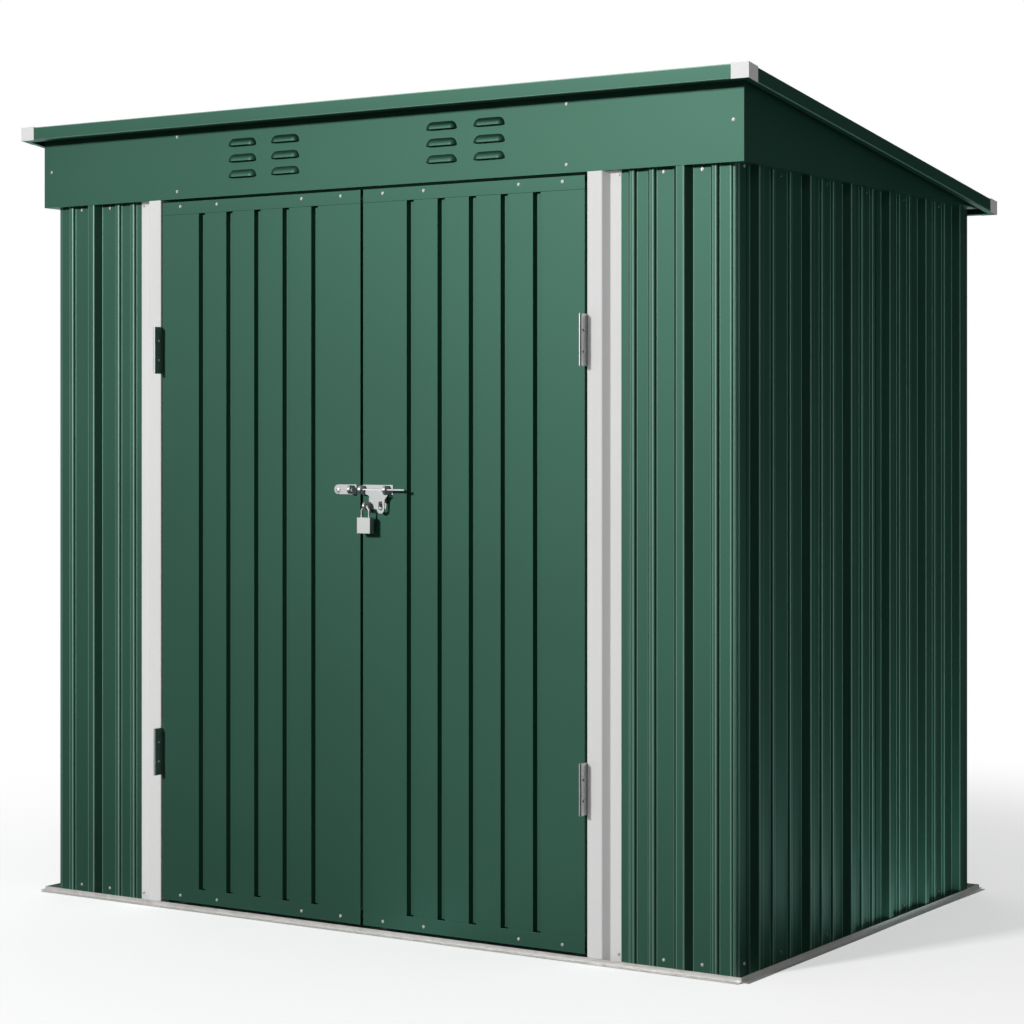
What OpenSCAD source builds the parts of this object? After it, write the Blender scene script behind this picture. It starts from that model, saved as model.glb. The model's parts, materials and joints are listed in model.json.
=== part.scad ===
// Metal garden shed with a single-slope roof, double doors, louvred fascia and a padlocked bolt.
// Origin on the ground at the middle of the roof's plan, front towards -Y, Z up, millimetres.

/* [Roof] */
// Width over the side roof trims
roof_w = 1800; // [1760:1:2200]
// Depth over the front and rear roof trims
roof_d = 1194; // [1000:1:1600]
// Height of the top of the front roof trim
front_h = 1687; // [1500:1:2100]
// Drop of the roof from front to rear
roof_fall = 160; // [100:1:220]
// Height of the roof trim's face
trim_h = 28.5; // [24:0.5:40]
// Depth of the trim's lips under and over the roof sheet
trim_lip = 14; // [10:0.5:17]
// Length of each arm of a roof corner cap
cap_len = 36; // [20:1:60]
// Place of the butt joint in the front trim, right of the middle
trim_joint_x = 35; // [-200:1:200]
// Height of the roof sheet's ribs
roof_rib_h = 8; // [4:0.5:9]

/* [Walls] */
// Sheet metal thickness
sheet_t = 1; // [0.6:0.1:1.2]
// From the roof edge in to the face of the side fascias
side_inset = 30; // [22:0.5:60]
// From the front roof edge in to the face of the front fascia
front_inset = 40; // [30:0.5:80]
// From the rear roof edge in to the rib crests of the rear wall
rear_inset = 19.5; // [18:0.5:60]
// Height of the main ribs
rib_h = 15; // [10:0.5:16]
// Width of a main rib at its foot
rib_base = 41; // [36:0.5:48]
// Width of a main rib's crest
rib_crest = 17; // [12:0.5:24]
// Spacing of the main ribs
rib_pitch = 185.5; // [175:0.5:230]
// Height of the small stiffening ribs
minor_h = 5; // [2:0.5:7]
// Width of a small rib at its foot
minor_base = 18.5; // [14:0.5:20]
// Width of a small rib's crest
minor_crest = 9; // [5:0.5:11]
// From a main rib to the small rib beside it
minor_step = 67; // [62:0.5:75]
// From a corner to the first main rib of the side and rear walls
corner_to_rib = 72; // [68:0.5:90]
// From the front corner to the main rib of a front panel
front_corner_to_rib = 111; // [100:0.5:130]
// Between the two small ribs beside the doorway
front_minor_gap = 43; // [32:0.5:60]
// Width of the corner return that laps behind a side sheet
corner_return = 53; // [48:0.5:56]
// Width of that return that stays in view
corner_reveal = 41; // [36:0.5:44]
// Overlap of two sheets
lap_w = 22; // [14:0.5:26]

/* [Doorway] */
// Clear width between the door posts
doorway_w = 1066; // [900:1:1090]
// Gap between the two door leaves
leaf_gap = 6.5; // [6:0.5:12]
// Gap between a leaf and its post, filled by the hinge plates
hinge_gap = 5; // [4.5:0.1:6]
// Gap over the doors
door_top_gap = 6; // [5:0.5:15]
// Height of the doors' lower edge over the ground
door_sill = 15; // [15:0.5:40]
// Thickness of a door leaf
door_t = 15; // [13:0.5:20]
// Height of the plain band at a door's foot
band_bottom = 30; // [20:0.5:60]
// Height of the plain band at a door's head
band_top = 27; // [20:0.5:60]
// Number of pressed grooves in a leaf
groove_count = 5; // [1:1:6]
// Spacing of the grooves
groove_pitch = 74.8; // [40:0.2:80]
// Shift of the row of grooves towards the hinges
groove_shift = 4; // [0:0.5:10]
// Width of a groove at the door's face
groove_w = 17; // [12:0.5:24]
// Width of a groove's floor
groove_floor = 10; // [4:0.5:11]
// Depth of a groove
groove_d = 10; // [4:0.5:11]

/* [Door posts] */
// Width of a post's front flat
post_flat = 33; // [25:0.5:50]
// Width of the slanted step beside the flat
post_step = 10; // [4:0.5:16]
// Width of the flange on the front panel
post_flange = 24; // [16:0.5:30]
// Depth of a post
post_d = 30; // [24:0.5:45]

/* [Fascia and louvres] */
// Width of a louvre at the fascia
louvre_w = 74; // [50:0.5:90]
// Height of a louvre
louvre_rise = 15; // [10:0.5:18]
// How far a louvre's hood stands out
louvre_out = 9; // [5:0.5:10]
// Vertical spacing of the louvres
louvre_pitch = 33; // [28:0.5:36]
// Louvres in a column
louvre_rows = 3; // [1:1:3]
// Height of the lowest louvre over the fascia's lower edge
louvre_base = 38; // [10:0.5:45]
// From the middle to the inner louvre column
louvre_inner_x = 196; // [80:1:250]
// Between the two louvre columns of a side
louvre_column_gap = 113; // [95:1:160]

/* [Rails] */
// Height of the base rail's lip
base_lip_h = 10; // [5:0.5:10]
// Width of the base rail's outer ground flange
base_flange = 14; // [8:0.5:16]
// Clearance between the rib crests and the base rail's lip
base_clear = 2.7; // [0.5:0.1:4]
// Thickness of the base rail
base_t = 1.2; // [0.8:0.1:2]
// Reach of the rails behind the walls
rail_reach = 26; // [20:1:40]
// Height of the rail webs behind the walls
rail_web = 30; // [20:1:50]
// Height of the roof beam
beam_h = 40; // [25:1:60]
// Width of the roof beam
beam_w = 30; // [20:1:50]

/* [Hinges] */
// Height of a hinge
hinge_h = 100; // [60:1:140]
// Height of the lower hinges' middle
hinge_low = 332; // [200:1:500]
// From the top of the walls down to the upper hinges' middle
hinge_from_top = 322; // [200:1:500]
// From the door's face out to the hinge pin
pin_out = 21; // [14:0.5:30]
// Thickness of a hinge plate
hinge_t = 1.7; // [1.2:0.1:2]
// Radius of a hinge knuckle
knuckle_r = 3.3; // [2.8:0.1:4.5]
// Radius of a hinge pin
pin_r = 1.6; // [1:0.1:2]
// Running clearance of a knuckle on its pin and of rods in their loops
run_clear = 0.3; // [0.2:0.05:0.6]

/* [Bolt and padlock] */
// Height of the bolt's rod over the ground
bolt_z = 898; // [700:1:1100]
// Radius of the rod
rod_r = 2.5; // [2:0.1:3]
// Length of the rod
rod_len = 112; // [100:1:130]
// From the door's face out to the rod
rod_out = 10.5; // [10:0.5:14]
// Height of the keeper and bolt plates
plate_h = 20; // [20:0.5:30]
// Length of the bolt plate
plate_len = 75; // [74:1:90]
// Length of the keeper plate
keeper_len = 56; // [40:1:70]
// Thickness of the plates
plate_t = 1.5; // [1:0.1:2.5]
// Width of the loops that hold the rod
loop_w = 6; // [4:0.5:8]
// Radius of the keeper's loop inside
keeper_bore_r = 3.6; // [3.3:0.1:4.5]
// Drop from the rod to the middle of the tongue's round end
tongue_drop = 38.5; // [36:0.5:44]
// Radius of the tongue's round end
tongue_r = 9; // [8:0.5:10]
// Half width of the tongue's slotted eye
tongue_eye_r = 5; // [3:0.1:6]
// From the door's face out to the middle of the padlock
staple_out = 17.5; // [16:0.5:20]
// Width of the padlock's body
padlock_w = 34; // [30:0.5:38]
// Height of the padlock's body
padlock_h = 32; // [24:0.5:40]
// Thickness of the padlock's body
padlock_t = 15; // [10:0.5:16]
// Diameter of the shackle's bar
shackle_d = 4.5; // [3.5:0.1:5.5]
// Width over the shackle
shackle_w = 23; // [21:0.5:26]
// Height of the shackle over the body
shackle_h = 23; // [20:0.5:30]

/* [Hidden] */
$fn = 48;

green = "#47785f";
white = "#e9e9e6";
zinc = "#b9bcbd";
eps = 0.01;

// Planes of the walls, from the outside in
front_y = -roof_d / 2 + front_inset;
fascia_x = roof_w / 2 - side_inset;
crest_gap_front = 1.5;
crest_gap_side = 8.5;
front_pan_y = front_y + crest_gap_front + rib_h;
rear_crest_y = roof_d / 2 - rear_inset;
rear_pan_y = rear_crest_y - rib_h;
crest_x = fascia_x - crest_gap_side;
side_pan_x = crest_x - rib_h;
corner_x = side_pan_x - sheet_t;
corner_set = 3;
corner_strip = 5;
wall_run = rear_pan_y - front_pan_y;

// Roof plane: the sheet's underside lies a little under the trim's top
roof_slope = atan(roof_fall / roof_d);
rib_cover = 4.5;
roof_drop = roof_rib_h + sheet_t + rib_cover;
eave_gap = 4;
wall_top = roof_under(rear_crest_y) - eave_gap;
wall_foot = base_t;
wall_h = wall_top - wall_foot;
cap_proud = 1;
trim_room = 1.5;
seat_gap = 0.2;

// Doors and hinges
leaf_x0 = leaf_gap / 2;
leaf_x1 = doorway_w / 2 - hinge_gap;
door_head = wall_top - door_top_gap;
pin_x = leaf_x1 + hinge_gap / 2;
hinge_high = wall_top - hinge_from_top;
post_x1 = doorway_w / 2 + post_flat + post_step + post_flange;
panel_gap = 1;
panel_x0 = doorway_w / 2 + post_flat + post_step + panel_gap;

// Bolt and padlock places along the door
plate_in = 0.5;
plate_x0 = leaf_x0 + plate_in;
keeper_in = 9;
keeper_x1 = -leaf_x0 - keeper_in;
rod_past = 1;
rod_x0 = leaf_x0 - rod_past;
tongue_place = 52.5;
tongue_x = plate_x0 + tongue_place;
staple_place = 18.25;
staple_x = plate_x0 + staple_place;
staple_t = 4;
staple_bar = 3;
staple_clear = 0.7;
staple_room = 3;
shackle_drop = 35;
shackle_bar_z = bolt_z - shackle_drop;
staple_hole_r = shackle_d / 2 + staple_room;
staple_z = shackle_bar_z - shackle_d / 2 - staple_clear + staple_hole_r;
loop_wall = 6;
loop_r = rod_r + run_clear + loop_wall;
keeper_loop_in = 5;
far_loop_in = 8.5;
far_loop_x = plate_x0 + plate_len - loop_w - far_loop_in;
apron_margin = 0.5;
apron_reach = 6;
apron_r = 6.5;

// Outline of the bolt's tongue, from the rod down and from the eye's middle sideways
tongue_t = 2;
root_left = 37;
root_gap = 1;
root_right = far_loop_x - root_gap - tongue_x;
shoulder_gap = 1.2;
shoulder_drop = loop_r + shoulder_gap;
shoulder_out = 18;
shoulder_foot = 19;
neck_right = 10;
neck_left = 21;
neck_drop = 27;
hollow_drop = 23.5;
hollow_r = 14;
eye_rise = 6.5;
eye_drop = tongue_drop - eye_rise;
eye_half = 4.3;

function roof_top(y) = front_h - (y + roof_d / 2) * roof_fall / roof_d;
function roof_under(y) = roof_top(y) - roof_drop;
function roof_seat(y) = roof_under(y) - seat_gap;

// Ribs are [centre, foot width, crest width, height] along a sheet
function main_rib(s, h = rib_h) = [s, rib_base, rib_crest, h];
function minor_rib(s) = [s, minor_base, minor_crest, minor_h];

// Outline of ribbed sheet metal from s0 to s1, with the lapping start raised by one thickness
function rib_points(rib) = [
    [rib[0] - rib[1] / 2, 0],
    [rib[0] - rib[2] / 2, rib[3]],
    [rib[0] + rib[2] / 2, rib[3]],
    [rib[0] + rib[1] / 2, 0]
];
function ribs_inside(ribs, s0, s1) = [
    for (r = ribs) if (r[0] - r[1] / 2 > s0 && r[0] + r[1] / 2 < s1) r
];
function sheet_line(ribs, s0, s1, lap) = concat(
    lap > 0 ? [[s0, sheet_t], [s0 + lap, sheet_t], [s0 + lap + 2 * sheet_t, 0]] : [[s0, 0]],
    [for (r = ribs_inside(ribs, s0 + lap, s1)) for (p = rib_points(r)) p],
    [[s1, 0]]
);
function turned(points) = [for (i = [len(points) - 1 : -1 : 0]) points[i]];
function thick(points) = concat(points, turned([for (p = points) [p[0], p[1] - sheet_t]]));

// Ribs of one bay between two main ribs: small ones a fixed step in from each
function bay(s0, s1, step) = [minor_rib(s0 + step), minor_rib(s1 - step)];

// Side wall ribs run at the pitch from the rear, and the bay at the front takes what is left
side_last = wall_run - corner_to_rib;
side_bays = max(1, floor((side_last - corner_to_rib) / rib_pitch) - 1);
side_second = side_last - side_bays * rib_pitch;
side_first_step = (side_second - corner_to_rib) / 3;
side_ribs = concat(
    [main_rib(corner_to_rib)],
    bay(corner_to_rib, side_second, side_first_step),
    [for (i = [0 : side_bays - 1]) for (r = concat(
        [main_rib(side_second + i * rib_pitch)],
        bay(side_second + i * rib_pitch, side_second + (i + 1) * rib_pitch, minor_step)
    )) r],
    [main_rib(side_last)]
);
lap_margin = 6;
lap_play = 1;
side_lap = side_second + floor(side_bays / 2) * rib_pitch - rib_base / 2 - lap_w - lap_margin;

// Rear wall and roof ribs are spaced evenly, as near the pitch as fits
function even_ribs(half, h, with_minor) = let (
    span = 2 * (half - corner_to_rib),
    bays = 2 * max(1, round(span / rib_pitch / 2)),
    pitch = span / bays
) concat(
    [for (i = [0 : bays - 1]) for (r = concat(
        [main_rib(-span / 2 + i * pitch, h)],
        with_minor ? bay(-span / 2 + i * pitch, -span / 2 + (i + 1) * pitch, minor_step) : []
    )) r],
    [main_rib(span / 2, h)]
);
rear_ribs = even_ribs(corner_x, rib_h, true);
roof_half = roof_w / 2 - sheet_t - trim_room;
roof_ribs = even_ribs(roof_half, roof_rib_h, false);
middle_margin = 2;
middle_lap = rib_base / 2 + middle_margin;

// Front panel ribs are placed from the outer corner
front_main = corner_x - front_corner_to_rib;
front_ribs = [
    minor_rib(front_main - minor_step - front_minor_gap),
    minor_rib(front_main - minor_step),
    main_rib(front_main),
    minor_rib(front_main + minor_step)
];

// A sheet standing on the base rails, its outline in plan and its outside towards -Y
module standing_sheet(points) {
    translate([0, 0, wall_foot])
        linear_extrude(height = wall_h)
            mirror([0, 1, 0])
                polygon(points);
}

module on_left() {
    mirror([1, 0, 0]) children();
}

// Base rails: a plate on the ground with a low lip outside the walls
module base_rail_section(reach) {
    lip_out = base_clear + base_t;
    translate([-lip_out - base_flange, 0])
        square([base_flange + lip_out + reach, base_t]);
    translate([-lip_out, 0])
        square([base_t, base_lip_h]);
}

base_reach = rib_h + rail_reach;
lip_x = crest_x + base_clear + base_t;
lip_front_y = front_y + crest_gap_front - base_clear - base_t;
lip_rear_y = rear_crest_y + base_clear + base_t;

module cross_base_rail() {
    lip_out = base_clear + base_t;
    inner_x = crest_x - base_reach;
    rotate([90, 0, 90])
        translate([0, 0, -inner_x])
            linear_extrude(height = 2 * inner_x)
                base_rail_section(base_reach);
    translate([-lip_x, -lip_out - base_flange, 0])
        cube([2 * lip_x, base_flange, base_t]);
    translate([-lip_x, -lip_out, 0])
        cube([2 * lip_x, base_t, base_lip_h]);
}

module front_base_rail() {
    color(zinc)
        translate([0, front_y + crest_gap_front, 0])
            cross_base_rail();
}

module rear_base_rail() {
    color(zinc)
        translate([0, rear_crest_y, 0])
            mirror([0, 1, 0])
                cross_base_rail();
}

module right_base_rail() {
    color(zinc)
        translate([crest_x, lip_rear_y - base_t, 0])
            rotate([90, 0, 0])
                linear_extrude(height = lip_rear_y - lip_front_y - 2 * base_t)
                    mirror([1, 0])
                        base_rail_section(base_reach);
}

module left_base_rail() {
    on_left() right_base_rail();
}

// Front panels: ribbed sheet with a return round a corner whose edge is set back on both faces
module right_front_panel() {
    edge_x = corner_x - corner_set;
    strip_x = edge_x - corner_strip;
    strip_y = corner_set + corner_strip;
    face = concat(
        sheet_line(front_ribs, panel_x0, strip_x - corner_set, 0),
        [[strip_x, -corner_set], [edge_x, -corner_set]]
    );
    wrap = [
        [edge_x, corner_set], [edge_x, strip_y],
        [corner_x, strip_y + corner_set], [corner_x, corner_return]
    ];
    color(green)
        translate([0, front_pan_y, 0]) {
            standing_sheet(thick(face));
            translate([0, 0, wall_foot])
                linear_extrude(height = wall_h)
                    polygon(concat(wrap, turned([for (p = wrap) [p[0] - sheet_t, p[1]]])));
        }
}

module left_front_panel() {
    on_left() right_front_panel();
}

// Side walls: two lapped sheets a side, running back from the front corner
module side_sheet(s0, s1, lap) {
    translate([corner_x, front_pan_y, 0])
        rotate([0, 0, 90])
            translate([0, -sheet_t, 0])
                standing_sheet(thick(sheet_line(side_ribs, s0, s1, lap)));
}

module right_side_front_sheet() {
    color(green) side_sheet(corner_reveal, side_lap + lap_w, 0);
}

module right_side_rear_sheet() {
    color(green) side_sheet(side_lap, wall_run - corner_reveal, lap_w + lap_play);
}

module left_side_front_sheet() {
    on_left() right_side_front_sheet();
}

module left_side_rear_sheet() {
    on_left() right_side_rear_sheet();
}

// Rear wall: two sheets lapped beside the middle rib, with returns round the corners
module rear_sheet(s0, s1, lap) {
    translate([0, rear_pan_y, 0])
        rotate([0, 0, 180])
            standing_sheet(thick(sheet_line(rear_ribs, s0, s1, lap)));
}

module rear_return() {
    translate([corner_x - sheet_t, rear_pan_y - corner_return, wall_foot])
        cube([sheet_t, corner_return, wall_h]);
}

module rear_right_sheet() {
    color(green) {
        rear_sheet(-corner_x, middle_lap + lap_w, 0);
        rear_return();
    }
}

module rear_left_sheet() {
    color(green) {
        rear_sheet(middle_lap, corner_x, lap_w + lap_play);
        on_left() rear_return();
    }
}

// Door posts: folded channels that lap onto the front panels
module right_door_post() {
    x0 = doorway_w / 2;
    x1 = x0 + post_flat;
    x2 = x1 + post_step;
    flange_y = front_pan_y - sheet_t;
    color(white)
        translate([0, 0, wall_foot])
            linear_extrude(height = wall_h)
                polygon([
                    [x0, front_y], [x1, front_y], [x2, flange_y], [post_x1, flange_y],
                    [post_x1, flange_y + sheet_t], [x2 - sheet_t, flange_y + sheet_t],
                    [x1 - sheet_t, front_y + sheet_t], [x0 + sheet_t, front_y + sheet_t],
                    [x0 + sheet_t, front_y + post_d - sheet_t],
                    [x0 + post_flat / 2, front_y + post_d - sheet_t],
                    [x0 + post_flat / 2, front_y + post_d], [x0, front_y + post_d]
                ]);
}

module left_door_post() {
    on_left() right_door_post();
}

// Top rails: angles that cap the walls and close up to the fascias
fascia_in_y = front_y + sheet_t;
fascia_in_x = fascia_x - sheet_t;
top_reach_y = front_pan_y + sheet_t + rail_reach;
rear_reach_y = rear_pan_y - sheet_t - rail_reach;
side_reach_x = corner_x - rail_reach;

module front_top_rail() {
    color(green)
        translate([-fascia_in_x, fascia_in_y, wall_top]) {
            cube([2 * fascia_in_x, top_reach_y - fascia_in_y, sheet_t]);
            cube([2 * fascia_in_x, sheet_t, rail_web]);
        }
}

module rear_top_rail() {
    color(zinc) {
        translate([-crest_x, rear_reach_y, wall_top])
            cube([2 * crest_x, rear_crest_y - rear_reach_y, sheet_t]);
        translate([-corner_x + sheet_t, rear_pan_y - 2 * sheet_t, wall_top - rail_web])
            cube([2 * (corner_x - sheet_t), sheet_t, rail_web]);
        translate([-side_reach_x, rear_reach_y, wall_top])
            cube([2 * side_reach_x, sheet_t, roof_seat(rear_reach_y + sheet_t) - wall_top]);
    }
}

module right_top_rail() {
    web_y0 = front_pan_y + corner_return;
    web_y1 = rear_pan_y - corner_return;
    color(green) {
        translate([side_reach_x, top_reach_y, wall_top])
            cube([fascia_in_x - side_reach_x, rear_reach_y - top_reach_y, sheet_t]);
        translate([corner_x - sheet_t, web_y0, wall_top - rail_web])
            cube([sheet_t, web_y1 - web_y0, rail_web]);
    }
}

module left_top_rail() {
    on_left() right_top_rail();
}

// Fascias: the front one carries pressed louvres, the side ones taper with the roof
louvre_r = (louvre_rise * louvre_rise + louvre_out * louvre_out) / (2 * louvre_out);
louvre_mid = louvre_w - 2 * louvre_rise;

module capsule(length, r) {
    rotate([0, 90, 0])
        cylinder(h = length, r = r, center = true);
    for (side = [-1, 1])
        translate([side * length / 2, 0, 0])
            sphere(r = r);
}

// The hood's form over its flat mouth, standing out from the plane y = 0
module louvre_form(inset, back) {
    intersection() {
        translate([0, louvre_r - louvre_out, 0])
            capsule(louvre_mid, louvre_r - inset);
        translate([-louvre_w / 2, -louvre_out, 0])
            cube([louvre_w, louvre_out + back, louvre_rise + 2 * sheet_t]);
    }
}

module louvre_places() {
    for (side = [-1, 1])
        for (column = [0, 1])
            for (row = [0 : louvre_rows - 1])
                translate([
                    side * (louvre_inner_x + column * louvre_column_gap),
                    front_y,
                    wall_top + louvre_base + row * louvre_pitch
                ])
                    children();
}

module front_fascia() {
    color(green)
        difference() {
            union() {
                translate([-fascia_x, front_y, wall_top])
                    cube([2 * fascia_x, sheet_t, roof_seat(fascia_in_y) - wall_top]);
                louvre_places()
                    louvre_form(0, sheet_t / 2);
            }
            louvre_places()
                louvre_form(sheet_t, sheet_t + eps);
        }
}

module right_fascia() {
    tip_h = 3;
    tip_y = (front_h - roof_drop - seat_gap - wall_top - tip_h) * roof_d / roof_fall - roof_d / 2;
    color(green)
        translate([fascia_in_x, 0, 0])
            rotate([90, 0, 90])
                linear_extrude(height = sheet_t)
                    polygon([
                        [fascia_in_y, wall_top], [tip_y, wall_top],
                        [tip_y, wall_top + tip_h], [fascia_in_y, roof_seat(fascia_in_y)]
                    ]);
}

module left_fascia() {
    on_left() right_fascia();
}

// Roof: two ribbed sheets lapped beside the ridge of the middle rib, and a beam under them
module roof_sheet(s0, s1, lap) {
    run = (roof_d - 2 * (sheet_t + trim_room)) / cos(roof_slope);
    start_y = -roof_d / 2 + sheet_t + trim_room;
    translate([0, start_y, roof_under(start_y)])
        rotate([-roof_slope, 0, 0])
            translate([0, run, sheet_t])
                rotate([90, 0, 0])
                    linear_extrude(height = run)
                        polygon(thick(sheet_line(roof_ribs, s0, s1, lap)));
}

module roof_left_sheet() {
    color(green) roof_sheet(-roof_half, middle_lap + lap_w, 0);
}

module roof_right_sheet() {
    color(green) roof_sheet(middle_lap, roof_half, lap_w + lap_play);
}

module roof_beam() {
    y0 = -beam_w / 2;
    y1 = beam_w / 2;
    foot = roof_under(0) - beam_h;
    color(zinc)
        translate([-fascia_in_x, 0, 0])
            rotate([90, 0, 90])
                linear_extrude(height = 2 * fascia_in_x)
                    polygon([
                        [y0, roof_seat(y0)], [y0, foot], [y1, foot], [y1, foot + sheet_t],
                        [y0 + sheet_t, foot + sheet_t],
                        [y0 + sheet_t, roof_seat(y0 + sheet_t) - sheet_t],
                        [y1, roof_seat(y1) - sheet_t], [y1, roof_seat(y1)]
                    ]);
}

// Roof trims: channels closed over the sheet's edges
function trim_section(y, way) = [
    [y, roof_top(y)],
    [y + way * trim_lip, roof_top(y + way * trim_lip)],
    [y + way * trim_lip, roof_top(y + way * trim_lip) - sheet_t],
    [y + way * sheet_t, roof_top(y + way * sheet_t) - sheet_t],
    [y + way * sheet_t, roof_top(y + way * sheet_t) - trim_h + sheet_t],
    [y + way * trim_lip, roof_top(y + way * trim_lip) - trim_h + sheet_t],
    [y + way * trim_lip, roof_top(y + way * trim_lip) - trim_h],
    [y, roof_top(y) - trim_h]
];

module cross_trim(x0, x1, y, way) {
    color(green)
        translate([x0, 0, 0])
            rotate([90, 0, 90])
                linear_extrude(height = x1 - x0)
                    polygon(trim_section(y, way));
}

module front_left_trim() {
    cross_trim(-roof_w / 2, trim_joint_x, -roof_d / 2, 1);
}

module front_right_trim() {
    cross_trim(trim_joint_x, roof_w / 2, -roof_d / 2, 1);
}

module rear_trim() {
    cross_trim(-roof_w / 2, roof_w / 2, roof_d / 2, -1);
}

// A strip along the roof's slope between two depths under its top, from x0 to x1
module slope_strip(x0, x1, y0, y1, over, under) {
    translate([x0, 0, 0])
        rotate([90, 0, 90])
            linear_extrude(height = x1 - x0)
                polygon([
                    [y0, roof_top(y0) - over], [y1, roof_top(y1) - over],
                    [y1, roof_top(y1) - under], [y0, roof_top(y0) - under]
                ]);
}

module right_trim() {
    edge = roof_w / 2;
    y0 = -roof_d / 2 + trim_lip;
    y1 = roof_d / 2 - trim_lip;
    color(green) {
        slope_strip(edge - sheet_t, edge, y0, y1, 0, trim_h);
        slope_strip(edge - trim_lip, edge, y0, y1, 0, sheet_t);
        slope_strip(edge - trim_lip, edge, y0, y1, trim_h - sheet_t, trim_h);
    }
}

module left_trim() {
    on_left() right_trim();
}

// Corner caps: folded angles over the trims' corners, with a top
module corner_cap(y, way) {
    edge = roof_w / 2;
    y_out = y - way * cap_proud;
    y_in = y + way * cap_len;
    a = min(y_out, y_in);
    b = max(y_out, y_in);
    slope_strip(edge, edge + cap_proud, a, b, -cap_proud, trim_h);
    slope_strip(edge - cap_len, edge + cap_proud, min(y, y_out), max(y, y_out), -cap_proud, trim_h);
    slope_strip(edge - cap_len, edge + cap_proud, a, b, -cap_proud, 0);
}

module roof_corner_caps() {
    color(white)
        for (side = [0, 1])
            mirror([side, 0, 0]) {
                corner_cap(-roof_d / 2, 1);
                corner_cap(roof_d / 2, -1);
            }
}

// Hinges: post leaves carry the pin, door leaves turn on it
module at_hinges() {
    for (z = [hinge_low, hinge_high])
        translate([pin_x, front_y - pin_out, z])
            children();
}

knuckle_h = hinge_h / 2;
plate_short = 1;
plate_reach = pin_out + door_t - plate_short;
plate_edge = hinge_gap / 2;

module hinge_plate(z0, h, way) {
    translate([way > 0 ? plate_edge - hinge_t : -plate_edge, 0, z0])
        cube([hinge_t, plate_reach, h]);
}

module right_hinge_post_leaves() {
    end_h = (hinge_h - knuckle_h) / 2 - run_clear;
    color(zinc)
        at_hinges() {
            difference() {
                hinge_plate(-hinge_h / 2, hinge_h, 1);
                translate([0, 0, -knuckle_h / 2 - run_clear])
                    cylinder(r = knuckle_r + run_clear, h = knuckle_h + 2 * run_clear);
            }
            cylinder(r = pin_r, h = hinge_h, center = true);
            for (z = [-hinge_h / 2, hinge_h / 2 - end_h])
                translate([0, 0, z])
                    cylinder(r = knuckle_r, h = end_h);
        }
}

module left_hinge_post_leaves() {
    on_left() right_hinge_post_leaves();
}

module right_hinge_door_leaves() {
    color(zinc)
        at_hinges()
            difference() {
                union() {
                    difference() {
                        hinge_plate(-hinge_h / 2, hinge_h, -1);
                        for (z = [-hinge_h / 2 - eps, knuckle_h / 2])
                            translate([0, 0, z])
                                cylinder(r = knuckle_r + run_clear, h = (hinge_h - knuckle_h) / 2 + eps);
                    }
                    cylinder(r = knuckle_r, h = knuckle_h, center = true);
                }
                cylinder(r = pin_r + run_clear, h = knuckle_h + 2 * run_clear, center = true);
            }
}

module left_hinge_door_leaves() {
    on_left() right_hinge_door_leaves();
}

// Door leaves: grooved pans with returned edges between plain channel bands
groove_mid = (leaf_x0 + leaf_x1) / 2 + groove_shift;

function groove_points(c, y) = [
    [c - groove_w / 2, y], [c - groove_floor / 2, y + groove_d],
    [c + groove_floor / 2, y + groove_d], [c + groove_w / 2, y]
];
function door_face(x0, x1, y) = concat(
    [[x0, y]],
    [for (i = [0 : groove_count - 1])
        for (p = groove_points(groove_mid + (i - (groove_count - 1) / 2) * groove_pitch, y)) p],
    [[x1, y]]
);

module right_door_panel() {
    z0 = door_sill + band_bottom;
    z1 = door_head - band_top;
    color(green)
        translate([0, front_y, z0])
            linear_extrude(height = z1 - z0)
                polygon(concat(
                    door_face(leaf_x0, leaf_x1, 0),
                    [[leaf_x1, door_t], [leaf_x1 - sheet_t, door_t]],
                    turned(door_face(leaf_x0 + sheet_t, leaf_x1 - sheet_t, sheet_t)),
                    [[leaf_x0 + sheet_t, door_t], [leaf_x0, door_t]]
                ));
}

module left_door_panel() {
    on_left() right_door_panel();
}

// A channel across a leaf, its web at the leaf's end and its flanges towards the middle
module door_band(h) {
    back_lip = 10;
    translate([leaf_x0, front_y, 0])
        rotate([90, 0, 90])
            linear_extrude(height = leaf_x1 - leaf_x0)
                polygon([
                    [0, 0], [door_t, 0], [door_t, back_lip], [door_t - sheet_t, back_lip],
                    [door_t - sheet_t, sheet_t], [sheet_t, sheet_t], [sheet_t, h], [0, h]
                ]);
}

module right_door_bottom_band() {
    color(green)
        translate([0, 0, door_sill])
            door_band(band_bottom);
}

module right_door_top_band() {
    color(green)
        translate([0, 0, door_head])
            mirror([0, 0, 1])
                door_band(band_top);
}

module left_door_bottom_band() {
    on_left() right_door_bottom_band();
}

module left_door_top_band() {
    on_left() right_door_top_band();
}

// A loop that stands on a plate and holds the rod, its bore along X
module rod_loop(x, bore) {
    translate([x, front_y - rod_out, bolt_z])
        rotate([90, 0, 90])
            linear_extrude(height = loop_w)
                difference() {
                    union() {
                        circle(r = loop_r);
                        translate([0, -loop_r])
                            square([rod_out - plate_t / 2, 2 * loop_r]);
                    }
                    circle(r = bore);
                }
}

// A flat outline in X and Z, standing out from the door's face by depth
module door_plate(depth, thickness) {
    translate([0, front_y - depth + thickness, 0])
        rotate([90, 0, 0])
            linear_extrude(height = thickness)
                children();
}

module lock_keeper() {
    color(zinc) {
        door_plate(plate_t, plate_t) {
            translate([keeper_x1 - keeper_len + plate_h / 2, bolt_z])
                circle(d = plate_h);
            translate([keeper_x1 - keeper_len + plate_h / 2, bolt_z - plate_h / 2])
                square([keeper_len - plate_h / 2, plate_h]);
        }
        rod_loop(keeper_x1 - loop_w - keeper_loop_in, keeper_bore_r);
    }
}

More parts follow.
